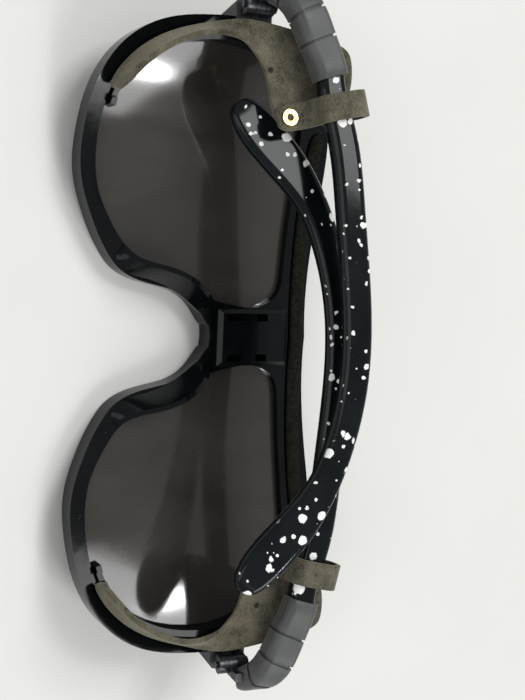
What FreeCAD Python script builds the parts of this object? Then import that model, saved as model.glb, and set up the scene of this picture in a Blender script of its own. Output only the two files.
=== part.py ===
"""Glacier glasses: a wrapped glossy front with tinted lenses, two ribbed and hinged temples, leather side shields.

Row frame: the glasses lie on the front of their lenses with the temples folded, +X is the wearer's right, +Y is
the brow and +Z is towards the wearer. Z is 0 on the surface that they lie on. Lengths are in millimetres.
The model is drawn about the middle of the bridge and moved along Y at the end, to centre it on the origin.
"""
import FreeCAD, Part

import math
import os

from FreeCAD import Matrix, Placement, Rotation, Vector

# ---------------------------------------------------------------- front frame
WRAP_RADIUS = 120.0          # each half of the front follows a cylinder of this radius, standing along Y
WRAP_CENTRE_X = 14.0         # the foremost line of each half
RIM_DEPTH = 5.0
RIM_EDGE_ROUND = 0.7
EXTRUDE_TOP = 45.0           # taller than anything cut from an outline
TOUCH = 0.1                  # how near counts as lying on a plane

# outline of the right half of the front, from the top of the bridge round to the nose arch
HALF_OUTLINE = [
    (0.0, 18.1), (16.0, 18.8), (30.0, 20.0), (42.0, 20.2), (52.0, 17.6), (60.0, 11.5), (65.0, 3.0),
    (66.8, -6.0), (66.4, -16.0), (64.3, -25.5), (60.0, -32.0), (53.0, -36.2), (43.4, -38.0),
    (34.0, -37.8), (25.8, -35.1), (19.2, -31.8),
]
# nasal side of the same outline, from the cheek to the nose arch
NASAL_OUTLINE = [(19.2, -31.8), (14.6, -28.3), (12.4, -24.5), (10.4, -16.5), (6.2, -9.4), (2.6, -6.9), (0.0, -6.5)]
# edge of the right lens opening, all round
LENS_OPENING = [
    (6.6, 2.0), (7.3, 7.5), (10.0, 11.0), (15.0, 12.1), (26.0, 12.6), (38.0, 12.9), (48.0, 12.0),
    (55.5, 8.4), (60.6, 2.0), (63.2, -6.0), (63.2, -15.0), (61.0, -23.5), (57.0, -29.3), (51.5, -33.0),
    (45.0, -34.7), (37.0, -34.9), (30.7, -33.7), (24.8, -30.8), (19.2, -26.6), (15.8, -21.4), (13.0, -15.6),
    (10.0, -9.6), (7.7, -4.0),
]

# ---------------------------------------------------------------- lenses
LENS_SEAT = 0.9              # how far the lens edge goes into the rim
LENS_EDGE_POINTS = 48
LENS_FRONT_DEPTH = 1.2       # from the rim's front face to the lens
LENS_THICKNESS = 2.0

# ---------------------------------------------------------------- bridge, nose rests and brow pad
BRIDGE_HALF_WIDTH = 6.3
BRIDGE_BOTTOM = -5.4
BRIDGE_TOP = 12.2
BRIDGE_FRONT = 1.0
BRIDGE_BACK = 8.4
BRIDGE_CHAMFER = 0.9
VENT_X = (3.7, 5.3)
VENT_SPANS_Y = [(-3.4, 0.4), (3.9, 6.7)]
NOSE_REST_LINE = [(16.4, -29.6), (12.9, -25.2), (11.1, -18.6), (8.2, -12.6), (5.0, -8.6)]
NOSE_REST_HEIGHTS = [0.5, 4.4, 6.2, 5.2, 1.4]
NOSE_REST_WIDTH = 3.0
NOSE_REST_ROOT = 3.6
NOSE_REST_INSET = 0.15
CROWN_SHARES = (0.95, 1.3)   # the flat top of the fin, over its width at the foot
PAD_HALF_LENGTH = 46.0
PAD_BOTTOM_Y = 13.9
PAD_TOP_Y = 17.3
PAD_RISE_Y = 1.1             # the pad's middle line climbs this much from the bridge to its ends
PAD_THICKNESS = 1.1
PAD_GAP = 0.02               # glue line

# ---------------------------------------------------------------- hinges
HINGE_X = 69.0
HINGE_Y = -6.0
HINGE_Z = 21.0
HINGE_TILT_DEG = 8.0         # the pin leans back towards the wearer at its top
KNUCKLE_RADIUS = 1.9
KNUCKLE_HALF = 3.0
CENTRE_KNUCKLE_HALF = 1.0
KNUCKLE_GAP = 0.12
LEAF_THICKNESS = 1.2
LEAF_NECK = 3.6              # the knuckles' necks, from the pin
LEAF_REACH = 6.0             # the whole leaf, from the pin
TONGUE_THICKNESS = 1.8
TONGUE_START = (0.1, 0.6)    # x and z, about the pin
TONGUE_LENGTH = 5.2
SCREW_RADIUS = 0.7
SCREW_CLEARANCE = 0.03
SCREW_HEAD_RADIUS = 1.35
SCREW_HEAD_HEIGHT = 0.6
SCREW_HEAD_GAP = 0.02
SCREW_TAIL = 0.5
SCREW_SLOT = (0.35, 0.28)    # width and depth
END_FOOT_Z = -9.6
END_FOOT_X = (-5.2, -1.8)
END_FOOT_HALF = 6.6
END_CROWN_Z = -2.5
END_CROWN_X = (-5.0, 1.8)
END_CROWN_HALF = 3.9
END_ROUND = 0.9
FOLD_DEG = {"left": 6.0, "right": -0.7}      # how far short of flat each temple lies folded

# ---------------------------------------------------------------- temples, along the path from the hinge
PATH_START_Z = -2.5
PATH_OUT_X = 2.2
PATH_BEND_RADIUS = 6.2
PATH_STRAIGHT = 4.3
BOW_RADIUS = 1000.0          # the arm bows outwards, so its tip comes back in
ARM_RISE = [(0.0, 0.0), (12.0, 6.4), (22.0, 11.0), (45.0, 16.3), (65.0, 18.7), (85.0, 19.3),
            (100.0, 16.3), (112.0, 10.6), (121.0, 2.6), (129.0, -4.6)]
# stations of the arm: path length, height, thickness
ARM_STATIONS = [(25.7, 5.9, 3.9), (36.0, 6.1, 3.8), (52.0, 6.2, 3.8), (70.0, 6.2, 3.7), (86.0, 6.1, 3.6),
                (100.0, 6.2, 3.6), (109.0, 6.9, 3.6), (115.5, 8.5, 3.6), (120.5, 9.1, 3.5), (124.4, 8.2, 3.4),
                (126.5, 6.6, 3.1), (127.7, 4.6, 2.6), (128.2, 2.4, 1.8)]
BOOT_STATIONS = [(4.9, 6.6, 4.9), (8.0, 7.2, 5.5), (12.0, 7.5, 5.7), (16.0, 7.5, 5.7), (21.0, 7.2, 5.6),
                 (25.6, 7.0, 5.4)]
GROOVES_AT = [8.6, 13.2, 18.4]
GROOVE_WIDTH = 0.55
GROOVE_DEPTH = 0.55
GROOVE_CUTTER = (9.5, 8.0)   # larger than the boot's section
ARM_CORNER_SHARE = 0.42
SLEEVE_CORNER_SHARE = 0.32
CORE_RADIUS = 0.7
CORE_SPAN = (7.5, 46.0)
CORE_SECTIONS = 9

# ---------------------------------------------------------------- leather side shields
CARRIER_RUN = [(47.5, -34.2), (51.5, -33.0), (57.0, -29.3), (61.0, -23.5), (63.2, -15.0), (63.2, -6.0),
               (60.6, 2.0), (57.6, 6.2)]
CARRIER_GAP = 0.35
CARRIER_THICKNESS = 1.2
CARRIER_HEIGHT = 3.6
CARRIER_LIFT = 0.1           # clear of the lens
NOTCH_SHARES = [0.35, 0.5, 0.65]     # along the first step of the run
NOTCH_WIDTH = 0.6
NOTCH_DEPTH = 0.9
LEATHER = 1.2
BAND_OUTSET = 0.6
BAND_RUN = [(51.5, -33.0), (57.0, -29.3), (61.0, -23.5), (63.2, -15.0), (63.4, -11.5)]
BAND_HEIGHT = 6.5
LEATHER_GAP = 0.42
FLAP_OUTLINE = [(-5.4, 0.6), (-7.4, 16.4), (-9.2, 18.8), (-16.5, 18.8), (-24.4, 9.4), (-25.8, 5.0),
                (-23.8, 2.2), (-15.4, 0.2)]
FLAP_GAP = 0.12              # play between the flap and the ring's tab
LOOP_SPAN = (28.8, 34.0)
LOOP_GAP = 0.34              # over and under the arm
LOOP_EDGE_GAP = 0.6
LOOP_CORNER_RADIUS = 1.7
LOOP_SLACK = 2.7             # how far the ring stands off the arm's brow edge
TAB_REACH = 8.2
EYELET_DROP = 5.9            # from the arm's cheek edge to the eyelet's centre
EYELET_BORE = 0.75
EYELET_TUBE = 1.15
EYELET_FLANGE = 1.65
EYELET_FLANGE_THICKNESS = 0.3

BOX_MIDDLE_Y = -8.9          # middle of the whole object along Y, in bridge coordinates


def vec(x, y, z=0.0):
    return Vector(x, y, z)


def mirrored(shape):
    """The left-hand twin of a right-hand shape."""
    return shape.mirror(Vector(0, 0, 0), Vector(1, 0, 0))


def spline_edge(points, start=None, end=None):
    """A smooth curve through points in the XY plane."""
    curve = Part.BSplineCurve()
    vectors = [vec(*p) for p in points]
    if start is not None:
        curve.interpolate(vectors, InitialTangent=start, FinalTangent=end)
    else:
        curve.interpolate(vectors)
    return curve.toShape()


def front_shell(front_depth, back_depth):
    """The layer of the wrapped front between two depths behind its front face, for the right half."""
    tall = 120.0
    base = vec(WRAP_CENTRE_X, -tall / 2, WRAP_RADIUS)
    outer = Part.makeCylinder(WRAP_RADIUS - front_depth, tall, base, Vector(0, 1, 0))
    inner = Part.makeCylinder(WRAP_RADIUS - back_depth, tall, base, Vector(0, 1, 0))
    low_half = Part.makeBox(WRAP_RADIUS, tall, EXTRUDE_TOP, vec(0, -tall / 2, -1))
    return outer.cut(inner).common(low_half)


def on_front(face, front_depth, back_depth):
    """Extrudes a face in the XY plane and keeps the layer of the front between two depths."""
    column = face.extrude(vec(0, 0, EXTRUDE_TOP))
    column.translate(vec(0, 0, -1))
    return column.common(front_shell(front_depth, back_depth))


def rounded(shape, radius, chosen):
    """The shape with the chosen edges rounded, or unchanged where the kernel can't round them."""
    edges = [e for e in shape.Edges if chosen(e)]
    try:
        result = shape.makeFillet(radius, edges)
    except Part.OCCError:
        return shape
    return result if result.isValid() and result.Volume > 0.8 * shape.Volume else shape


# ================================================================ front
def closed_face(points):
    """The face inside a closed smooth curve, with the curve in two pieces."""
    curve = Part.BSplineCurve()
    curve.interpolate([vec(*p) for p in points], PeriodicFlag=True)
    first, last = curve.FirstParameter, curve.LastParameter
    middle = (first + last) / 2
    return Part.Face(Part.Wire([curve.toShape(first, middle), curve.toShape(middle, last)]))


def lens_opening_face(outset=0.0):
    """The lens opening in the XY plane, grown all round by an outset."""
    if outset == 0.0:
        return closed_face(LENS_OPENING)
    curve = Part.BSplineCurve()
    curve.interpolate([vec(*p) for p in LENS_OPENING], PeriodicFlag=True)
    grown_points = []
    for i in range(LENS_EDGE_POINTS):
        at = curve.FirstParameter + (curve.LastParameter - curve.FirstParameter) * i / LENS_EDGE_POINTS
        along, = curve.tangent(at)
        here = curve.value(at)
        grown_points.append((here.x - outset * along.y, here.y + outset * along.x))
    return closed_face(grown_points)


def half_front():
    along_x = Vector(1, 0, 0)
    cheek_tangent = Vector(-1, 0.62, 0)
    brow = spline_edge(HALF_OUTLINE, along_x, cheek_tangent)
    nasal = spline_edge(NASAL_OUTLINE, cheek_tangent, Vector(-1, 0, 0))
    middle = Part.makeLine(vec(*NASAL_OUTLINE[-1]), vec(*HALF_OUTLINE[0]))
    outline = Part.Face(Part.Wire([brow, nasal, middle]))
    rim = on_front(outline, 0, RIM_DEPTH).cut(
        on_front(lens_opening_face(), -1, RIM_DEPTH + 1))

    def long_rim_edge(edge):
        box = edge.BoundBox
        return edge.Length > 30 and box.XMax > 10

    return rounded(rim, RIM_EDGE_ROUND, long_rim_edge)


def nose_rest():
    """A fin behind the nasal rim, with its outer face slanted to lie on the side of the nose."""
    sections = []
    last = len(NOSE_REST_LINE) - 1
    for i, (x, y) in enumerate(NOSE_REST_LINE):
        before = Vector(*NOSE_REST_LINE[max(i - 1, 0)], 0)
        after = Vector(*NOSE_REST_LINE[min(i + 1, last)], 0)
        along = (after - before).normalize()
        inward = Vector(-along.y, along.x, 0)
        if inward.x < 0:
            inward = inward.negative()
        height = NOSE_REST_HEIGHTS[i]
        foot = vec(x, y, NOSE_REST_ROOT)
        crown = RIM_DEPTH + height
        corners = [
            foot + inward * NOSE_REST_INSET,
            vec(x, y, RIM_DEPTH) + inward * NOSE_REST_INSET,
            vec(x, y, crown) + inward * (CROWN_SHARES[0] * NOSE_REST_WIDTH),
            vec(x, y, crown) + inward * (CROWN_SHARES[1] * NOSE_REST_WIDTH),
            foot + inward * NOSE_REST_WIDTH,
        ]
        sections.append(Part.makePolygon(corners + corners[:1]))
    return Part.makeLoft(sections, True, False)


def bridge():
    """The raised block between the lenses, with two vents beside each lens."""
    width = 2 * BRIDGE_HALF_WIDTH
    block = Part.makeBox(width, BRIDGE_TOP - BRIDGE_BOTTOM, BRIDGE_BACK - BRIDGE_FRONT,
                         vec(-BRIDGE_HALF_WIDTH, BRIDGE_BOTTOM, BRIDGE_FRONT))
    back_edges = [e for e in block.Edges if e.BoundBox.ZMin > BRIDGE_BACK - TOUCH]
    return block.makeChamfer(BRIDGE_CHAMFER, back_edges)


def vents():
    boxes = []
    for side in (-1, 1):
        for low, high in VENT_SPANS_Y:
            near = VENT_X[0] if side > 0 else -VENT_X[1]
            boxes.append(Part.makeBox(VENT_X[1] - VENT_X[0], high - low, EXTRUDE_TOP, vec(near, low, -1)))
    return boxes


def lens_right():
    return on_front(lens_opening_face(LENS_SEAT), LENS_FRONT_DEPTH, LENS_FRONT_DEPTH + LENS_THICKNESS)


def brow_pad():
    """A strip of foam-backed leather along the back of the brow, in one piece over the bridge."""
    ends = [(PAD_HALF_LENGTH, PAD_RISE_Y), (0.0, 0.0)]
    lower = [vec(x, PAD_BOTTOM_Y + rise) for x, rise in ends]
    upper = [vec(x, PAD_TOP_Y + rise) for x, rise in reversed(ends)]
    face = Part.Face(Part.makePolygon(lower + upper + lower[:1]))
    half = on_front(face, RIM_DEPTH + PAD_GAP, RIM_DEPTH + PAD_THICKNESS)
    return half.fuse(mirrored(half)).removeSplitter()


# ================================================================ hinges, drawn about the pin
def ring_about_pin(radius, bore, low, high):
    outer = Part.makeCylinder(radius, high - low, vec(0, low, 0), Vector(0, 1, 0))
    return outer.cut(Part.makeCylinder(bore, high - low, vec(0, low, 0), Vector(0, 1, 0)))


def front_leaf():
    """The two outer knuckles and the leaf moulded into the end piece."""
    bore = SCREW_RADIUS + SCREW_CLEARANCE
    inner = CENTRE_KNUCKLE_HALF + KNUCKLE_GAP
    parts = []
    for low, high in ((inner, KNUCKLE_HALF), (-KNUCKLE_HALF, -inner)):
        parts.append(ring_about_pin(KNUCKLE_RADIUS, bore, low, high))
        neck = Part.makeBox(LEAF_THICKNESS, high - low, LEAF_NECK, vec(-KNUCKLE_RADIUS, low, -LEAF_NECK))
        parts.append(neck)
    leaf = Part.makeBox(LEAF_THICKNESS, 2 * KNUCKLE_HALF, LEAF_REACH - LEAF_NECK,
                        vec(-KNUCKLE_RADIUS, -KNUCKLE_HALF, -LEAF_REACH))
    shape = leaf.multiFuse(parts)
    bore_cut = Part.makeCylinder(bore, 4 * KNUCKLE_HALF, vec(0, -2 * KNUCKLE_HALF, 0), Vector(0, 1, 0))
    return shape.cut(bore_cut).removeSplitter()


def temple_leaf():
    """The centre knuckle and its tongue, which the boot is moulded over."""
    bore = SCREW_RADIUS + SCREW_CLEARANCE
    ring = ring_about_pin(KNUCKLE_RADIUS, bore, -CENTRE_KNUCKLE_HALF, CENTRE_KNUCKLE_HALF)
    tongue_x, tongue_z = TONGUE_START
    tongue = Part.makeBox(TONGUE_THICKNESS, 2 * CENTRE_KNUCKLE_HALF, TONGUE_LENGTH,
                          vec(tongue_x, -CENTRE_KNUCKLE_HALF, tongue_z))
    bore_cut = Part.makeCylinder(bore, 4 * KNUCKLE_HALF, vec(0, -2 * KNUCKLE_HALF, 0), Vector(0, 1, 0))
    return ring.fuse(tongue).cut(bore_cut).removeSplitter()


def hinge_screw():
    """The pin, with a slotted head on the brow side."""
    along_pin = Vector(0, 1, 0)
    head_from = KNUCKLE_HALF + SCREW_HEAD_GAP
    shank_from = -KNUCKLE_HALF - SCREW_TAIL
    shank = Part.makeCylinder(SCREW_RADIUS, head_from - shank_from, vec(0, shank_from, 0), along_pin)
    head = Part.makeCylinder(SCREW_HEAD_RADIUS, SCREW_HEAD_HEIGHT, vec(0, head_from, 0), along_pin)
    slot_width, slot_depth = SCREW_SLOT
    slot = Part.makeBox(2 * SCREW_HEAD_RADIUS, slot_depth, slot_width,
                        vec(-SCREW_HEAD_RADIUS, head_from + SCREW_HEAD_HEIGHT - slot_depth, -slot_width / 2))
    return shank.fuse(head).cut(slot)


# ================================================================ temples, drawn about the pin
def rise_curve():
    """Height of the temple's middle line over the length of its path."""
    curve = Part.BSplineCurve()
    curve.interpolate([vec(*p) for p in ARM_RISE])
    return curve


RISE = rise_curve()


def rise_at(length):
    cut = RISE.intersect(Part.Line(vec(length, -50), vec(length, 50)))
    return cut[0].Y


def path_point(length):
    """Middle line of the temple, seen from above: out from the pin, round the bend, then inwards with a bow."""
    bend_length = 0.5 * math.pi * PATH_BEND_RADIUS
    if length <= PATH_STRAIGHT:
        x, z = PATH_OUT_X, PATH_START_Z + length
        heading = Vector(0, 0, 1)
    elif length <= PATH_STRAIGHT + bend_length:
        turn = (length - PATH_STRAIGHT) / PATH_BEND_RADIUS
        x = PATH_OUT_X - PATH_BEND_RADIUS * (1 - math.cos(turn))
        z = PATH_START_Z + PATH_STRAIGHT + PATH_BEND_RADIUS * math.sin(turn)
        heading = Vector(-math.sin(turn), 0, math.cos(turn))
    else:
        along = length - PATH_STRAIGHT - bend_length
        slope = along / BOW_RADIUS
        x = PATH_OUT_X - PATH_BEND_RADIUS - along
        z = PATH_START_Z + PATH_STRAIGHT + PATH_BEND_RADIUS - 0.5 * along * slope
        heading = Vector(-1, 0, -slope).normalize()
    return Vector(x, rise_at(length), z), heading


def path_frame(length):
    """Point, direction along, direction up the height and direction across the thickness."""
    step = 0.25
    before, heading = path_point(length - step)
    after, heading = path_point(length + step)
    point, heading = path_point(length)
    climb = (after.y - before.y) / (2 * step)
    along = (heading + Vector(0, climb, 0)).normalize()
    across = Vector(0, 1, 0).cross(heading).normalize()
    up = across.cross(along).normalize()
    if up.y < 0:
        up = up.negative()
    return point, along, up, across


def section(length, height, thickness, corner_share):
    """A rounded rectangle square to the path."""
    point, along, up, across = path_frame(length)
    r = corner_share * thickness
    h, t = height / 2, thickness / 2
    corners = [(h - r, t), (h, t - r), (h, r - t), (h - r, -t), (r - h, -t), (-h, r - t), (-h, t - r), (r - h, t)]

    def place(a, b):
        return point + up * a + across * b

    bulge = r * (1 - math.sqrt(0.5))
    edges = []
    for i in range(0, 8, 2):
        a, b = corners[i], corners[i + 1]
        mid = (math.copysign(h - bulge, a[0]), math.copysign(t - bulge, a[1]))
        c = corners[(i + 2) % 8]
        edges.append(Part.Arc(place(*a), place(*mid), place(*b)).toShape())
        edges.append(Part.makeLine(place(*b), place(*c)))
    return Part.Wire(edges)


def tube(stations, corner_share=SLEEVE_CORNER_SHARE):
    """A loft along the path."""
    return Part.makeLoft([section(*s, corner_share) for s in stations], True, False)


def grown(stations, by):
    """The stations with every section grown all round."""
    return [(length, height + 2 * by, thickness + 2 * by) for length, height, thickness in stations]


def core_wire():
    """The steel wire inside the boot and the front of the arm."""
    low, high = CORE_SPAN
    sections = []
    for i in range(CORE_SECTIONS):
        point, along, up, across = path_frame(low + (high - low) * i / (CORE_SECTIONS - 1))
        sections.append(Part.Wire([Part.makeCircle(CORE_RADIUS, point, along)]))
    return Part.makeLoft(sections, True, False)


def boot(core, leaf):
    """The ribbed soft sleeve from the hinge round the bend."""
    body = tube(BOOT_STATIONS)
    inner = tube(grown(BOOT_STATIONS, -GROOVE_DEPTH))
    for at in GROOVES_AT:
        start, end = at - GROOVE_WIDTH / 2, at + GROOVE_WIDTH / 2
        ring = tube([(start, *GROOVE_CUTTER), (end, *GROOVE_CUTTER)]).cut(inner)
        body = body.cut(ring)
    return body.cut(core).cut(leaf)


def arm(core):
    return tube(ARM_STATIONS, ARM_CORNER_SHARE).cut(core)


def arm_size(length):
    """Height and thickness of the arm at a place on its path."""
    for (s0, h0, t0), (s1, h1, t1) in zip(ARM_STATIONS, ARM_STATIONS[1:]):
        if s0 <= length <= s1:
            share = (length - s0) / (s1 - s0)
            return h0 + share * (h1 - h0), t0 + share * (t1 - t0)
    raise ValueError(length)


def loop_and_eyelet():
    """The leather ring round the arm with its riveted tab, and the brass eyelet through the tab and the flap."""
    low, high = LOOP_SPAN
    middle = (low + high) / 2
    height, thickness = arm_size(middle)
    point, along, up, across = path_frame(middle)
    if across.z > 0:
        across = across.negative()
    floor = thickness / 2 + LOOP_GAP
    placing = Matrix(along.x, up.x, across.x, point.x,
                     along.y, up.y, across.y, point.y,
                     along.z, up.z, across.z, point.z,
                     0, 0, 0, 1)
    half = (high - low) / 2
    edge = height / 2 + LOOP_EDGE_GAP
    width = 2 * half
    opening = Part.makeBox(width, 2 * edge + LOOP_SLACK, 2 * floor, vec(-half, -edge, -floor))
    ring = Part.makeBox(width, 2 * edge + LOOP_SLACK + 2 * LEATHER, 2 * floor + 2 * LEATHER,
                        vec(-half, -edge - LEATHER, -floor - LEATHER))
    corners = [e for e in ring.Edges if e.BoundBox.XLength > TOUCH]
    ring = ring.makeFillet(LOOP_CORNER_RADIUS, corners)
    tab = Part.makeBox(width, TAB_REACH, LEATHER, vec(-half, -edge - TAB_REACH, floor))
    drop = vec(0, -edge - EYELET_DROP, floor)
    barrel = Part.makeCylinder(EYELET_TUBE, 2 * LEATHER, drop)
    flange = EYELET_FLANGE_THICKNESS
    top = Part.makeCylinder(EYELET_FLANGE, flange, drop + vec(0, 0, -flange))
    bottom = Part.makeCylinder(EYELET_FLANGE, flange, drop + vec(0, 0, 2 * LEATHER))
    hole = Part.makeCylinder(EYELET_BORE, 2 * LEATHER + 4 * flange, drop + vec(0, 0, -2 * flange))
    eyelet = barrel.multiFuse([top, bottom]).cut(hole).removeSplitter()
    punch = Part.makeCylinder(EYELET_TUBE, 6 * LEATHER, drop - vec(0, 0, 3 * LEATHER))
    loop = ring.fuse(tab).cut(opening).cut(punch).removeSplitter()
    for shape in (loop, eyelet, punch):
        shape.transformShape(placing)
    return loop, eyelet, punch


def flap(punch):
    """The leather panel under the boot and the ring, held to the ring's tab by the eyelet."""
    point, _ = path_point(sum(LOOP_SPAN) / 2)
    _, thickness = arm_size(sum(LOOP_SPAN) / 2)
    tab_underside = point.z - thickness / 2 - LOOP_GAP - LEATHER
    corners = [vec(x, y, tab_underside - LEATHER + FLAP_GAP / 2) for x, y in FLAP_OUTLINE]
    plate = Part.Face(Part.makePolygon(corners + corners[:1])).extrude(vec(0, 0, LEATHER - 1.5 * FLAP_GAP))
    return plate.cut(punch)


# ================================================================ shield parts on the front
def offset_points(points, distance):
    """Points moved square to their run, towards the middle of the lens for a positive distance."""
    moved = []
    last = len(points) - 1
    for i, (x, y) in enumerate(points):
        ax, ay = points[max(i - 1, 0)]
        bx, by = points[min(i + 1, last)]
        length = math.hypot(bx - ax, by - ay)
        moved.append((x - distance * (by - ay) / length, y + distance * (bx - ax) / length))
    return moved


def strip_face(points, near, far):
    """A strip in the XY plane between two offsets of a run of points."""
    a = spline_edge(offset_points(points, near))
    b = spline_edge(offset_points(points, far))
    start = Part.makeLine(a.valueAt(a.FirstParameter), b.valueAt(b.FirstParameter))
    end = Part.makeLine(a.valueAt(a.LastParameter), b.valueAt(b.LastParameter))
    return Part.Face(Part.Wire([a, end, b, start]))


def carrier():
    """The springy strip that snaps inside the rim and holds the leather, notched at its cheek end."""
    foot = LENS_FRONT_DEPTH + LENS_THICKNESS + CARRIER_LIFT
    face = strip_face(CARRIER_RUN, CARRIER_GAP, CARRIER_GAP + CARRIER_THICKNESS)
    strip = on_front(face, foot, foot + CARRIER_HEIGHT)
    (x0, y0), (x1, y1) = CARRIER_RUN[0], CARRIER_RUN[1]
    for share in NOTCH_SHARES:
        x, y = x0 + share * (x1 - x0), y0 + share * (y1 - y0)
        beside = vec(x - NOTCH_WIDTH / 2, y - CARRIER_HEIGHT / 2)
        notch = Part.makeBox(NOTCH_WIDTH, CARRIER_HEIGHT, EXTRUDE_TOP, beside)
        strip = strip.cut(notch.common(front_shell(foot + CARRIER_HEIGHT - NOTCH_DEPTH, foot + 2 * CARRIER_HEIGHT)))
    return strip


def band():
    """The leather edge over the rim, from the cheek to the hinge."""
    face = strip_face(BAND_RUN, -BAND_OUTSET - LEATHER, -BAND_OUTSET)
    low = RIM_DEPTH + LEATHER_GAP
    return on_front(face, low, low + BAND_HEIGHT)


# ================================================================ placing and export
def temple_placement(fold_deg):
    """Takes shapes drawn about the pin to the right-hand hinge, folded short of flat by fold_deg."""
    fold = Rotation(Vector(0, 1, 0), fold_deg)
    tilt = Rotation(Vector(1, 0, 0), HINGE_TILT_DEG)
    return Placement(vec(HINGE_X, HINGE_Y, HINGE_Z), tilt.multiply(fold))


def placed(shape, placement):
    copy = shape.copy()
    copy.transformShape(placement.toMatrix())
    return copy


def end_piece(frame, leaf):
    """The grey end that carries the hinge out from the rim."""
    corners = []
    for depth, (x0, x1), half in ((END_FOOT_Z, END_FOOT_X, END_FOOT_HALF), (END_CROWN_Z, END_CROWN_X, END_CROWN_HALF)):
        loop = [vec(x0, -half, depth), vec(x1, -half, depth), vec(x1, half, depth), vec(x0, half, depth)]
        corners.append(Part.makePolygon(loop + loop[:1]))
    body = Part.makeLoft(corners, True, True)
    upright = [e for e in body.Edges if e.BoundBox.ZLength > 1.0]
    body = body.makeFillet(END_ROUND, upright)
    body = placed(body, temple_placement(0.0)).cut(frame).cut(leaf)
    return max(body.Solids, key=lambda solid: solid.Volume)


def main():
    nodes = {}
    half = half_front()
    lens = lens_right()
    frame = half.fuse(mirrored(half))
    frame = frame.multiFuse([bridge(), nose_rest(), mirrored(nose_rest())])
    for box in vents():
        frame = frame.cut(box)
    frame = frame.cut(lens).cut(mirrored(lens)).removeSplitter()
    pad = brow_pad()

    core = core_wire()
    leaf = temple_leaf()
    loop, eyelet, punch = loop_and_eyelet()
    temple_parts = {
        "temple_leaf": leaf,
        "boot": boot(core, leaf),
        "core_wire": core.cut(leaf),
        "temple_arm": arm(core),
        "shield_loop": loop,
        "eyelet": eyelet,
        "shield_flap": flap(punch),
    }
    flat = temple_placement(0.0)
    front_hinge = placed(front_leaf(), flat)
    front_parts = {
        "lens": lens,
        "hinge_leaf": front_hinge,
        "hinge_screw": placed(hinge_screw(), flat),
        "end_piece": end_piece(frame, front_hinge),
        "shield_carrier": carrier(),
        "shield_band": band(),
    }
    nodes["frame_front"] = frame
    nodes["brow_pad"] = pad
    for side in ("left", "right"):
        there = temple_placement(FOLD_DEG[side])
        shapes = dict(front_parts)
        shapes.update({name: placed(shape, there) for name, shape in temple_parts.items()})
        for name, shape in shapes.items():
            nodes[f"{name}_{side}"] = shape if side == "right" else mirrored(shape)

    os.makedirs("parts", exist_ok=True)
    for name, shape in nodes.items():
        shape = shape.copy()
        shape.translate(vec(0, -BOX_MIDDLE_Y, 0))
        shape.exportStep(f"parts/{name}.step")
        box = shape.BoundBox
        print(name, "solids", len(shape.Solids), "valid", shape.isValid(), "volume %.1f" % shape.Volume,
              "x %.1f %.1f y %.1f %.1f z %.1f %.1f" % (box.XMin, box.XMax, box.YMin, box.YMax, box.ZMin, box.ZMax))


main()
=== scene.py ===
"""Looks for the glacier glasses: camera, floor, light, materials, and the leather and foam pieces."""

import math

import bmesh
import bpy
from mathutils import Matrix, Vector


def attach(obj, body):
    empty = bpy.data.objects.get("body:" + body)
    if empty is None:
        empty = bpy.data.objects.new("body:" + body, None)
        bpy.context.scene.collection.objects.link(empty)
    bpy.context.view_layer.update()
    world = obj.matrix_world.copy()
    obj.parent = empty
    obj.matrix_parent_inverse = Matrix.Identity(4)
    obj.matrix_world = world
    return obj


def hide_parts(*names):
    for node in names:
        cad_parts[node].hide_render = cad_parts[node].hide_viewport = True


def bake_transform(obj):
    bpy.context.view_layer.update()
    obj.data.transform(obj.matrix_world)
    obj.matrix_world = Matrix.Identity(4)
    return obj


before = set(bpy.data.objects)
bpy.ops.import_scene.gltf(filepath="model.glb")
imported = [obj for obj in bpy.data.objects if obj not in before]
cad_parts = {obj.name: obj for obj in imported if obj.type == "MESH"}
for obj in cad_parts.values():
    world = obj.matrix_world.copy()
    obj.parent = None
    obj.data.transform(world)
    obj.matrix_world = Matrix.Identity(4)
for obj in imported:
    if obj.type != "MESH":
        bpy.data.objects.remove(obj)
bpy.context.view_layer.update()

MM = 0.001
ROW_Y = 8.9                    # what is added along Y to turn bridge coordinates into the frame's
SIDES = {"right": 1, "left": -1}

# the front face lies on two cylinders, one a side, with their axes this far out from the middle
WRAP_CENTRE_X = 14.0
WRAP_RADIUS = 120.0

# the right-hand hinge pin; the left one is its mirror image
HINGE = Vector((69.0, -6.0, 21.0))
HINGE_TILT = math.radians(8.0)
FOLD = {"left": math.radians(6.0), "right": math.radians(-0.7)}   # short of flat against the front


# ---------------------------------------- coordinates: drawn in millimetres, used in metres
def temple_point(side, local):
    """A point drawn about the right-hand pin, folded and tilted into place on its own side."""
    turn = Matrix.Rotation(HINGE_TILT, 3, "X") @ Matrix.Rotation(FOLD[side], 3, "Y")
    p = HINGE + turn @ Vector(local)
    return Vector((SIDES[side] * p.x, p.y + ROW_Y, p.z)) * MM


def front_point(side, x, y, z):
    """A point drawn from the bridge on the right-hand side, put on its own side."""
    return Vector((SIDES[side] * x, y + ROW_Y, z)) * MM


def shell_height(x, behind):
    """Height above the table of a point a distance behind the wrapped front face."""
    return WRAP_RADIUS - math.sqrt((WRAP_RADIUS - behind) ** 2 - (abs(x) - WRAP_CENTRE_X) ** 2)


# ---------------------------------------------------------------- materials
def material(name):
    """A new material, its node tree and its main shader."""
    m = bpy.data.materials.new(name)
    m.use_nodes = True
    tree = m.node_tree
    return m, tree, tree.nodes["Principled BSDF"]


def node(tree, kind, **values):
    """A new node; each value goes to the input of that name, or else to the node's own setting."""
    n = tree.nodes.new(kind)
    for key, value in values.items():
        if key in n.inputs:
            n.inputs[key].default_value = value
        else:
            setattr(n, key, value)
    return n


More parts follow.
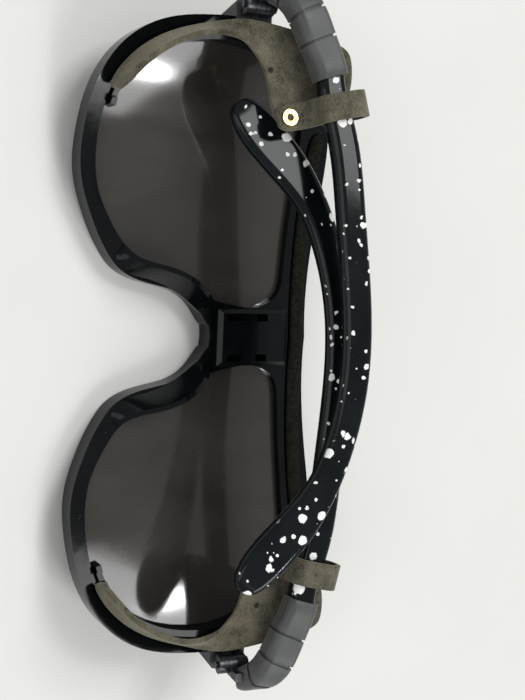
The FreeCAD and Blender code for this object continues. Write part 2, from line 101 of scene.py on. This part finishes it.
def coordinates(tree, scale=(1.0, 1.0, 1.0)):
    """The object's own coordinates, stretched."""
    place = node(tree, "ShaderNodeTexCoord")
    mapping = node(tree, "ShaderNodeMapping", Scale=scale)
    tree.links.new(place.outputs["Object"], mapping.inputs["Vector"])
    return mapping.outputs["Vector"]


def noise(tree, vector, scale, detail=4.0, roughness=0.55, distortion=0.0):
    """Cloudy noise as one value from 0 to 1."""
    n = node(tree, "ShaderNodeTexNoise", Scale=scale, Detail=detail, Roughness=roughness,
             Distortion=distortion)
    tree.links.new(vector, n.inputs["Vector"])
    return n.outputs["Fac"]


def voronoi(tree, vector, scale):
    """Scattered cells, each with a distance from its middle and a colour of its own."""
    n = node(tree, "ShaderNodeTexVoronoi", Scale=scale)
    tree.links.new(vector, n.inputs["Vector"])
    return n


def ramp(tree, value, stops):
    """A colour for a value, blended between (position, colour) stops."""
    n = node(tree, "ShaderNodeValToRGB")
    first, last = n.color_ramp.elements[0], n.color_ramp.elements[1]
    first.position, first.color = stops[0][0], (*stops[0][1], 1.0)
    last.position, last.color = stops[-1][0], (*stops[-1][1], 1.0)
    for position, colour in stops[1:-1]:
        n.color_ramp.elements.new(position).color = (*colour, 1.0)
    tree.links.new(value, n.inputs["Fac"])
    return n.outputs["Color"]


def math_node(tree, operation, a, b):
    """One sum on links or plain numbers."""
    n = node(tree, "ShaderNodeMath", operation=operation)
    for socket, value in zip(n.inputs, (a, b)):
        if isinstance(value, (int, float)):
            socket.default_value = value
        else:
            tree.links.new(value, socket)
    return n.outputs["Value"]


def span(tree, value, low, high, to_low=0.0, to_high=1.0):
    """A value taken from one range to another, and held at its ends."""
    n = node(tree, "ShaderNodeMapRange")
    limits = (("From Min", low), ("From Max", high), ("To Min", to_low), ("To Max", to_high))
    for socket, number in limits:
        n.inputs[socket].default_value = number
    tree.links.new(value, n.inputs["Value"])
    return n.outputs["Result"]


def mix(tree, factor, a, b):
    """Colour a going over to colour b as the factor rises; each is a link or a plain colour."""
    n = node(tree, "ShaderNodeMix", data_type="RGBA")
    # a mix node repeats its sockets for each data type; 6, 7 and output 2 are the colours
    first, second, result = n.inputs[6], n.inputs[7], n.outputs[2]
    tree.links.new(factor, n.inputs[0])
    for socket, value in ((first, a), (second, b)):
        if isinstance(value, tuple):
            socket.default_value = (*value, 1.0)
        else:
            tree.links.new(value, socket)
    return result


def bump(tree, shader, height, strength, distance):
    """Fine relief from a height value; the distance is in metres."""
    n = node(tree, "ShaderNodeBump", Strength=strength, Distance=distance)
    tree.links.new(height, n.inputs["Height"])
    tree.links.new(n.outputs["Normal"], shader.inputs["Normal"])


def gloss_black():
    """Injection-moulded black nylon: clear gloss, faint moulding ripple, a little dust and haze."""
    m, tree, shader = material("gloss_black")
    at = coordinates(tree)
    haze = noise(tree, at, 90.0, 5.0)
    dust = voronoi(tree, at, 900.0).outputs["Distance"]
    speck = span(tree, dust, 0.05, 0.11, 1.0, 0.0)
    rare = span(tree, noise(tree, at, 420.0, 2.0), 0.58, 0.66)
    dusty = math_node(tree, "MULTIPLY", speck, rare)
    tint = ramp(tree, haze, [(0.3, (0.001, 0.002, 0.002)), (0.75, (0.004, 0.005, 0.006))])
    tree.links.new(mix(tree, dusty, tint, (0.11, 0.11, 0.10)), shader.inputs["Base Color"])
    tree.links.new(span(tree, haze, 0.3, 0.8, 0.08, 0.18), shader.inputs["Roughness"])
    shader.inputs["IOR"].default_value = 1.27
    bump(tree, shader, noise(tree, at, 160.0, 2.0), 0.15, 0.0003)
    return m


# white paint spots, large to small: cells per metre, then the least and greatest reach in a cell
PAINT_SPOTS = ((195.0, 0.0, 0.34), (285.0, -0.10, 0.32), (560.0, -0.20, 0.30))
PAINT_WANDER = 0.0011          # how far the outline of a spot is pushed about, in metres


def wandering(tree, at):
    """Coordinates pushed about by a fine noise, so that round cells become blots."""
    warp = node(tree, "ShaderNodeTexNoise", Scale=650.0, Detail=2.0)
    tree.links.new(at, warp.inputs["Vector"])
    shifted = node(tree, "ShaderNodeVectorMath", operation="SUBTRACT")
    tree.links.new(warp.outputs["Color"], shifted.inputs[0])
    shifted.inputs[1].default_value = (0.5, 0.5, 0.5)
    scaled = node(tree, "ShaderNodeVectorMath", operation="SCALE", Scale=PAINT_WANDER)
    tree.links.new(shifted.outputs["Vector"], scaled.inputs[0])
    moved = node(tree, "ShaderNodeVectorMath", operation="ADD")
    tree.links.new(at, moved.inputs[0])
    tree.links.new(scaled.outputs["Vector"], moved.inputs[1])
    return moved.outputs["Vector"]


def splattered_black():
    """The arm's gloss black with white paint thrown over the outer face."""
    m, tree, shader = material("splattered_black")
    at = coordinates(tree)
    blotted = wandering(tree, at)
    spots = None
    for scale, low, high in PAINT_SPOTS:
        cells = voronoi(tree, blotted, scale)
        parts = node(tree, "ShaderNodeSeparateColor")
        tree.links.new(cells.outputs["Color"], parts.inputs["Color"])
        reach = span(tree, parts.outputs["Red"], 0.0, 1.0, low, high)
        inside = math_node(tree, "SUBTRACT", reach, cells.outputs["Distance"])
        spot = span(tree, inside, 0.0, 0.03)
        spots = spot if spots is None else math_node(tree, "MAXIMUM", spots, spot)
    facing = node(tree, "ShaderNodeSeparateXYZ")
    tree.links.new(node(tree, "ShaderNodeTexCoord").outputs["Normal"], facing.inputs["Vector"])
    outer_face = span(tree, facing.outputs["Z"], 0.25, 0.5)
    paint = math_node(tree, "MULTIPLY", spots, outer_face)
    haze = noise(tree, at, 120.0, 4.0)
    black = ramp(tree, haze, [(0.3, (0.002, 0.003, 0.004)), (0.75, (0.006, 0.009, 0.010))])
    chalk = noise(tree, at, 700.0, 3.0)
    white = ramp(tree, chalk, [(0.3, (0.78, 0.78, 0.75)), (0.7, (0.92, 0.92, 0.90))])
    tree.links.new(mix(tree, paint, black, white), shader.inputs["Base Color"])
    tree.links.new(span(tree, paint, 0.0, 1.0, 0.1, 0.35), shader.inputs["Roughness"])
    shader.inputs["IOR"].default_value = 1.3
    raised = math_node(tree, "ADD", paint, math_node(tree, "MULTIPLY", noise(tree, at, 200.0, 2.0), 0.5))
    bump(tree, shader, raised, 0.35, 0.0001)
    return m


def soft_grey(name, dark, light):
    """Matte rubbery plastic with a fine grain and paler rubbed places."""
    m, tree, shader = material(name)
    at = coordinates(tree)
    broad = noise(tree, at, 110.0, 5.0)
    grain = noise(tree, at, 3200.0, 2.0)
    base = ramp(tree, broad, [(0.3, dark), (0.7, light)])
    rubbed = span(tree, noise(tree, at, 480.0, 3.0), 0.6, 0.75, 0.0, 0.35)
    tree.links.new(mix(tree, rubbed, base, tuple(1.5 * c for c in light)), shader.inputs["Base Color"])
    tree.links.new(span(tree, broad, 0.3, 0.7, 0.42, 0.58), shader.inputs["Roughness"])
    shader.inputs["Specular IOR Level"].default_value = 0.45
    shader.inputs["Sheen Weight"].default_value = 0.15
    shader.inputs["Sheen Roughness"].default_value = 0.5
    bump(tree, shader, grain, 0.25, 0.00006)
    return m


def tinted_lens():
    """Dark brown-grey tinted glass: a little light comes through, with faint smears on the surface."""
    m, tree, shader = material("tinted_lens")
    at = coordinates(tree)
    smear = noise(tree, coordinates(tree, (1.0, 0.35, 1.0)), 75.0, 4.0, 0.6, 0.6)
    tree.links.new(ramp(tree, smear, [(0.35, (0.030, 0.027, 0.023)), (0.75, (0.046, 0.041, 0.036))]),
                   shader.inputs["Base Color"])
    tree.links.new(span(tree, smear, 0.45, 0.85, 0.07, 0.14), shader.inputs["Roughness"])
    shader.inputs["IOR"].default_value = 1.5
    shader.inputs["Alpha"].default_value = 0.94
    bump(tree, shader, noise(tree, at, 45.0, 1.0), 0.05, 0.0004)
    return m


def suede():
    """Napped leather: mottled olive, fine fibres, scattered pits."""
    dark = (0.030, 0.028, 0.018)
    light = (0.150, 0.135, 0.095)
    m, tree, shader = material("olive_suede")
    at = coordinates(tree)
    broad = noise(tree, at, 260.0, 5.0, 0.6)
    fibre = noise(tree, at, 2600.0, 4.0, 0.7)
    blend = math_node(tree, "ADD", math_node(tree, "MULTIPLY", broad, 0.55),
                      math_node(tree, "MULTIPLY", fibre, 0.45))
    middle = tuple(0.5 * (a + b) for a, b in zip(dark, light))
    base = ramp(tree, blend, [(0.36, dark), (0.5, middle), (0.66, light)])
    cells = voronoi(tree, at, 330.0)
    parts = node(tree, "ShaderNodeSeparateColor")
    tree.links.new(cells.outputs["Color"], parts.inputs["Color"])
    size = span(tree, parts.outputs["Green"], 0.55, 1.0, 0.0, 0.26)
    pit = span(tree, math_node(tree, "SUBTRACT", size, cells.outputs["Distance"]), 0.0, 0.1)
    glint = span(tree, noise(tree, at, 4200.0, 1.0), 0.68, 0.76)
    coloured = mix(tree, pit, base, (0.012, 0.012, 0.010))
    tree.links.new(mix(tree, glint, coloured, (0.33, 0.31, 0.25)), shader.inputs["Base Color"])
    shader.inputs["Roughness"].default_value = 0.88
    shader.inputs["Specular IOR Level"].default_value = 0.25
    shader.inputs["Sheen Weight"].default_value = 0.4
    shader.inputs["Sheen Roughness"].default_value = 0.45
    shader.inputs["Sheen Tint"].default_value = (0.75, 0.7, 0.55, 1.0)
    height = math_node(tree, "SUBTRACT", math_node(tree, "MULTIPLY", blend, 0.7), pit)
    bump(tree, shader, height, 0.8, 0.00022)
    return m


def smooth_leather():
    """The dressed face of the leather: nearly black, creased, slightly shiny."""
    m, tree, shader = material("smooth_black_leather")
    at = coordinates(tree)
    grain = voronoi(tree, at, 1500.0).outputs["Distance"]
    tone = noise(tree, at, 200.0, 4.0)
    tree.links.new(ramp(tree, tone, [(0.3, (0.010, 0.009, 0.008)), (0.7, (0.028, 0.024, 0.020))]),
                   shader.inputs["Base Color"])
    tree.links.new(span(tree, tone, 0.3, 0.7, 0.38, 0.6), shader.inputs["Roughness"])
    bump(tree, shader, grain, 0.5, 0.0001)
    return m


def metal(name, colour, worn, roughness):
    """Bare metal with duller, rougher worn places."""
    m, tree, shader = material(name)
    at = coordinates(tree)
    tone = noise(tree, at, 900.0, 4.0)
    tree.links.new(ramp(tree, tone, [(0.3, worn), (0.62, colour)]), shader.inputs["Base Color"])
    shader.inputs["Metallic"].default_value = 1.0
    tree.links.new(span(tree, tone, 0.3, 0.7, roughness + 0.16, roughness), shader.inputs["Roughness"])
    bump(tree, shader, noise(tree, at, 2500.0, 2.0), 0.2, 0.00004)
    return m


def pad_cover():
    """The brow strip: closed-cell foam under a dark pebbled skin."""
    m, tree, shader = material("pebbled_pad")
    at = coordinates(tree)
    pebble = voronoi(tree, at, 1100.0).outputs["Distance"]
    broad = noise(tree, at, 320.0, 4.0)
    tone = math_node(tree, "ADD", math_node(tree, "MULTIPLY", pebble, 0.5),
                     math_node(tree, "MULTIPLY", broad, 0.5))
    tree.links.new(ramp(tree, tone, [(0.25, (0.001, 0.0015, 0.001)), (0.7, (0.009, 0.010, 0.006))]),
                   shader.inputs["Base Color"])
    shader.inputs["Roughness"].default_value = 0.82
    shader.inputs["Specular IOR Level"].default_value = 0.1
    bump(tree, shader, tone, 0.9, 0.0003)
    return m


def floor_white():
    """A matte white table top, very slightly uneven in tone."""
    m, tree, shader = material("pale_table")
    at = coordinates(tree)
    tone = noise(tree, at, 14.0, 4.0)
    tree.links.new(ramp(tree, tone, [(0.3, (0.675, 0.675, 0.645)), (0.7, (0.71, 0.71, 0.68))]),
                   shader.inputs["Base Color"])
    shader.inputs["Roughness"].default_value = 0.6
    bump(tree, shader, noise(tree, at, 700.0, 3.0), 0.05, 0.0002)
    return m


frame_black = gloss_black()
leather_nap = suede()
leather_face = smooth_leather()
hinge_steel = metal("hinge_steel", (0.085, 0.088, 0.094), (0.035, 0.036, 0.038), 0.34)
pad_black = pad_cover()

SIDE_FINISHES = {
    "temple_arm": splattered_black(),
    "boot": soft_grey("boot_grey", (0.040, 0.042, 0.041), (0.076, 0.079, 0.076)),
    "end_piece": soft_grey("end_piece_grey", (0.030, 0.032, 0.032), (0.058, 0.061, 0.060)),
    "lens": tinted_lens(),
    "shield_carrier": frame_black,
    "hinge_leaf": hinge_steel,
    "temple_leaf": hinge_steel,
    "hinge_screw": hinge_steel,
    "core_wire": metal("core_steel", (0.45, 0.46, 0.47), (0.28, 0.28, 0.28), 0.34),
    "eyelet": metal("eyelet_brass", (0.72, 0.58, 0.26), (0.42, 0.31, 0.11), 0.22),
    "shield_band": leather_nap,
    "shield_flap": leather_nap,
    "shield_loop": leather_nap,
}


def dress(name, finish):
    """Gives a CAD node its finish."""
    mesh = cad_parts[name].data
    mesh.materials.clear()
    mesh.materials.append(finish)


for side in SIDES:
    for kind, finish in SIDE_FINISHES.items():
        dress(f"{kind}_{side}", finish)
dress("frame_front", frame_black)
dress("brow_pad", pad_black)


# ---------------------------------------------------------------- leather and foam
EDGE_ROUNDING = 0.22           # radius on the cut edges of the leather


def new_piece(name, bm, *finishes):
    """Turns a built mesh into a smoothed object in the scene; its modifiers are still to be applied."""
    bmesh.ops.recalc_face_normals(bm, faces=bm.faces)
    mesh = bpy.data.meshes.new(name)
    bm.to_mesh(mesh)
    bm.free()
    for finish in finishes:
        mesh.materials.append(finish)
    piece = bpy.data.objects.new(name, mesh)
    bpy.context.scene.collection.objects.link(piece)
    smooth = piece.modifiers.new("smooth", "SUBSURF")
    smooth.levels = smooth.render_levels = 2
    return piece


def strip_mesh(name, sections, thickness):
    """A sheet of leather through rows of points, napped on one side and smooth on the other."""
    bm = bmesh.new()
    rows = [[bm.verts.new(p) for p in row] for row in sections]
    for a, b in zip(rows, rows[1:]):
        for i in range(len(a) - 1):
            bm.faces.new((a[i], a[i + 1], b[i + 1], b[i]))
    piece = new_piece(name, bm, leather_nap, leather_face)
    thick = piece.modifiers.new("thick", "SOLIDIFY")
    thick.thickness = thickness
    thick.offset = 0.0
    thick.use_even_offset = True
    thick.material_offset = 1
    thick.material_offset_rim = 0
    soften = piece.modifiers.new("soften", "BEVEL")
    soften.width = EDGE_ROUNDING * MM
    soften.segments = 2
    soften.limit_method = "ANGLE"
    return apply_modifiers(piece)


def apply_modifiers(piece):
    """Makes the smoothed shape the object's own mesh."""
    depsgraph = bpy.context.evaluated_depsgraph_get()
    mesh = bpy.data.meshes.new_from_object(piece.evaluated_get(depsgraph))
    mesh.name = piece.name
    piece.modifiers.clear()
    piece.data = mesh
    for polygon in mesh.polygons:
        polygon.use_smooth = True
    return piece


PANEL_LEATHER = 1.15           # leather thicknesses
LOOP_LEATHER = 1.05
PUCKER = 0.12                  # how far the turned part of the panel waves across its width
# the panel's lower and upper edges while it stands on the rim: x, y and height behind the front face
STANDING = [
    ((50.2, -33.9, 7.4), (50.0, -33.7, 9.2)),
    ((51.2, -33.8, 6.2), (50.6, -33.2, 10.9)),
    ((53.6, -32.8, 5.8), (52.6, -31.9, 12.0)),
    ((57.2, -30.2, 5.8), (55.9, -29.3, 12.4)),
    ((60.6, -26.0, 5.8), (59.0, -25.3, 12.2)),
    ((63.0, -20.6, 5.8), (61.4, -20.3, 11.8)),
    ((64.4, -15.2, 6.0), (62.6, -15.4, 11.2)),
]
# the neck where it turns over, then the flap under the boot: outer and inner edge about the pin
TURNED = [
    ((-3.9, -4.9, 1.6), (-7.6, -4.6, 2.3)),
    ((-4.2, -2.4, 2.7), (-9.6, -3.2, 3.1)),
    ((-4.6, 0.2, 3.4), (-11.6, -1.5, 3.5)),
    ((-5.2, 4.2, 3.6), (-13.6, -0.4, 3.6)),
    ((-6.0, 9.4, 3.6), (-16.2, 0.4, 3.6)),
    ((-7.0, 14.8, 3.6), (-18.8, 0.9, 3.6)),
    ((-8.0, 18.0, 3.6), (-21.4, 1.4, 3.6)),
    ((-10.4, 19.0, 3.6), (-24.2, 2.3, 3.6)),
    ((-14.0, 19.0, 3.6), (-25.6, 4.6, 3.6)),
    ((-17.0, 18.6, 3.6), (-25.2, 8.4, 3.6)),
]
PANEL_SHARES = [i / 6 for i in range(7)]   # places across the panel, from one edge to the other


def between(start, end, share):
    """A point part of the way from one point to another."""
    return [a + share * (b - a) for a, b in zip(start, end)]


def shield_panel(side):
    """The leather panel: standing on the rim, turned over at the corner, flat under the boot."""
    rows = []
    for low, high in STANDING:
        row = []
        for share in PANEL_SHARES:
            x, y, behind = between(low, high, share)
            row.append(front_point(side, x, y, shell_height(x, behind)))
        rows.append(row)
    for outer, inner in TURNED:
        row = []
        for share in PANEL_SHARES:
            along, up, out = between(outer, inner, share)
            row.append(temple_point(side, (along, up, out + PUCKER * math.sin(3.0 * math.pi * share))))
        rows.append(row)
    piece = strip_mesh(f"side_shield_{side}", rows, PANEL_LEATHER * MM)
    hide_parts(f"shield_band_{side}", f"shield_flap_{side}")
    return piece


# the loop's line round the arm, in the plane square to it: towards the brow, and towards the wearer
LOOP_LINE = [(-12.1, -2.89), (-11.6, -2.89), (-10.4, -2.89), (-8.6, -2.89), (-6.4, -2.75), (-4.9, -1.9),
             (-4.25, 0.0), (-3.7, 1.9), (-2.0, 2.88), (1.0, 2.98), (3.8, 2.86), (5.6, 1.9), (6.25, 0.1),
             (5.8, -1.7), (4.1, -2.85), (1.5, -2.93), (-3.4, -2.93)]
LOOP_WIDTH = 5.3
TAIL_SHARES = (0.45, 0.72, 0.97)   # shares of that width along the rounded tail
LOOP_SHARES = (-0.5, -0.25, 0.0, 0.25, 0.5)
LOOP_CENTRE = Vector((-21.36, 13.84, 7.85))   # about the pin, where the arm passes through
LOOP_ALONG = Vector((-0.973, 0.230, -0.017))
LOOP_UP = Vector((0.230, 0.973, 0.004))
LOOP_OUT = Vector((-0.017, 0.0, 1.0))


def retaining_loop(side):
    """The leather loop that holds the panel to the arm, riveted at its tail."""
    rows = []
    for k, (reach, out) in enumerate(LOOP_LINE):
        width = LOOP_WIDTH * (TAIL_SHARES[k] if k < len(TAIL_SHARES) else 1.0)
        middle = LOOP_CENTRE + LOOP_UP * reach + LOOP_OUT * out
        rows.append([temple_point(side, middle + LOOP_ALONG * (share * width)) for share in LOOP_SHARES])
    piece = strip_mesh(f"retaining_loop_{side}", rows, LOOP_LEATHER * MM)
    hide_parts(f"shield_loop_{side}")
    return piece


PAD_HALF_LENGTH = 46.0
PAD_WIDTH = 3.5
PAD_STEPS = 48
PAD_END = 1.6                  # length over which each end is pulled in
PAD_END_FULLNESS = 0.45        # share of the full width that is left at the very end
PAD_END_HEIGHT = 0.3           # share of the height that the narrowing never takes away
PAD_MIDDLE_Y = 15.6            # the strip's middle line over the bridge, and how far it rises by the ends
PAD_RISE = 1.1
PAD_BACK = 5.01                # where the brow's back surface lies behind the front face
# one cross-section: share of the width, height over the back surface
PAD_SECTION = [(-0.5, 0.05), (-0.5, 0.55), (-0.34, 0.98), (0.0, 1.16), (0.34, 0.98), (0.5, 0.55),
               (0.5, 0.05)]


def brow_strip():
    """The pebbled foam strip along the back of the brow, crowned, with pulled-in ends."""
    bm = bmesh.new()
    rings = []
    foot = PAD_SECTION[0][1]
    for k in range(PAD_STEPS + 1):
        x = PAD_HALF_LENGTH * (2.0 * k / PAD_STEPS - 1.0)
        inset = min(1.0, (PAD_HALF_LENGTH - abs(x)) / PAD_END)
        rounding = math.sqrt(max(0.0, 1.0 - (1.0 - inset) ** 2))
        fullness = PAD_END_FULLNESS + (1.0 - PAD_END_FULLNESS) * rounding
        swell = PAD_END_HEIGHT + (1.0 - PAD_END_HEIGHT) * fullness
        middle_y = PAD_MIDDLE_Y + PAD_RISE * abs(x) / PAD_HALF_LENGTH
        ring = []
        for share, height in PAD_SECTION:
            y = middle_y + PAD_WIDTH * fullness * share
            behind = PAD_BACK + foot + (height - foot) * swell
            ring.append(bm.verts.new(front_point("right", x, y, shell_height(x, behind))))
        rings.append(ring)
    for a, b in zip(rings, rings[1:]):
        for i in range(len(a)):
            j = (i + 1) % len(a)
            bm.faces.new((a[i], a[j], b[j], b[i]))
    bm.faces.new(rings[0])
    bm.faces.new(list(reversed(rings[-1])))
    piece = apply_modifiers(new_piece("brow_strip", bm, pad_black))
    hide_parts("brow_pad")
    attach(piece, "front")


for side in SIDES:
    panel = shield_panel(side)
    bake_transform(panel)
    loop = retaining_loop(side)
    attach(loop, f"temple_{side}")
brow_strip()


# ---------------------------------------------------------------- floor, light and camera
AIM = Vector((0.0, 0.0, 0.01))   # the point every lamp is turned towards
PANEL_SIZE = (0.42, 0.62)
SPOT_SIZE = (0.06, 0.045)
ROOM_COLOUR = (0.96, 0.98, 1.0, 1.0)
ROOM_STRENGTH = 0.47
TABLE_REACH = 3.0
TABLE_Z = -0.0004              # just under the part, so that the two never share a surface


def area_light(name, place, size, power, shape="RECTANGLE"):
    """A soft lamp turned towards the part."""
    lamp = bpy.data.lights.new(name, "AREA")
    lamp.shape = shape
    lamp.size, lamp.size_y = size
    lamp.energy = power
    holder = bpy.data.objects.new(name, lamp)
    bpy.context.scene.collection.objects.link(holder)
    holder.location = place
    holder.rotation_euler = (AIM - Vector(place)).to_track_quat("-Z", "Y").to_euler()


def floor():
    """The pale table top the glasses lie on."""
    mesh = bpy.data.meshes.new("table")
    signs = ((-1, -1), (1, -1), (1, 1), (-1, 1))
    corners = [(x * TABLE_REACH, y * TABLE_REACH, TABLE_Z) for x, y in signs]
    mesh.from_pydata(corners, [], [(0, 1, 2, 3)])
    mesh.materials.append(floor_white())
    table = bpy.data.objects.new("table", mesh)
    bpy.context.scene.collection.objects.link(table)


floor()
world = bpy.data.worlds.new("room")
bpy.context.scene.world = world
world.use_nodes = True
background = world.node_tree.nodes["Background"]
background.inputs["Color"].default_value = ROOM_COLOUR
background.inputs["Strength"].default_value = ROOM_STRENGTH
area_light("ceiling_panel_left", (-0.56, 0.40, 1.0), PANEL_SIZE, 6.6)
area_light("ceiling_panel_right", (0.80, 0.44, 1.0), PANEL_SIZE, 6.0)
area_light("far_fill", (0.1, -1.1, 0.8), (0.6, 1.2), 3.6)
area_light("spot_left", (-0.352, 0.476, 1.0), SPOT_SIZE, 0.55, shape="ELLIPSE")
area_light("spot_right", (0.553, 0.478, 1.0), SPOT_SIZE, 0.75, shape="ELLIPSE")

scene = bpy.context.scene
scene.view_settings.view_transform = "Standard"

SENSOR = 36.0                  # camera sizes in millimetres
LENS = 56.5714
CAMERA_TILT, CAMERA_YAW, CAMERA_ROLL = (math.radians(a) for a in (30.0, 5.25, 2.56))
CAMERA_DISTANCE = 0.244
LOOK_HEIGHT = 0.008
LOOK_SLOPE = (-0.0204545, 0.0111818)   # the look point off the camera's axis, rightwards and upwards
camera_data = bpy.data.cameras.new("camera")
camera = bpy.data.objects.new("camera", camera_data)
scene.collection.objects.link(camera)
camera_data.sensor_width = SENSOR
camera_data.lens = LENS
camera_data.clip_start = 0.01
# the picture's right is the brow's side, and its top the wearer's left
level_right = Vector((0.0, math.cos(CAMERA_TILT), math.sin(CAMERA_TILT)))
level_up = Vector((-1.0, 0.0, 0.0))
level_back = Vector((0.0, -math.sin(CAMERA_TILT), math.cos(CAMERA_TILT)))
back = math.cos(CAMERA_YAW) * level_back + math.sin(CAMERA_YAW) * level_up
yawed_up = math.cos(CAMERA_YAW) * level_up - math.sin(CAMERA_YAW) * level_back
right = math.cos(CAMERA_ROLL) * level_right + math.sin(CAMERA_ROLL) * yawed_up
up = math.cos(CAMERA_ROLL) * yawed_up - math.sin(CAMERA_ROLL) * level_right
look = Vector((0.0, ROW_Y * MM, LOOK_HEIGHT))
shift = (right * LOOK_SLOPE[0] + up * LOOK_SLOPE[1]) * CAMERA_DISTANCE
place = look + back * CAMERA_DISTANCE - shift
axes = Matrix((right, up, back)).transposed()
camera.matrix_world = Matrix.Translation(place) @ axes.to_4x4()
scene.camera = camera
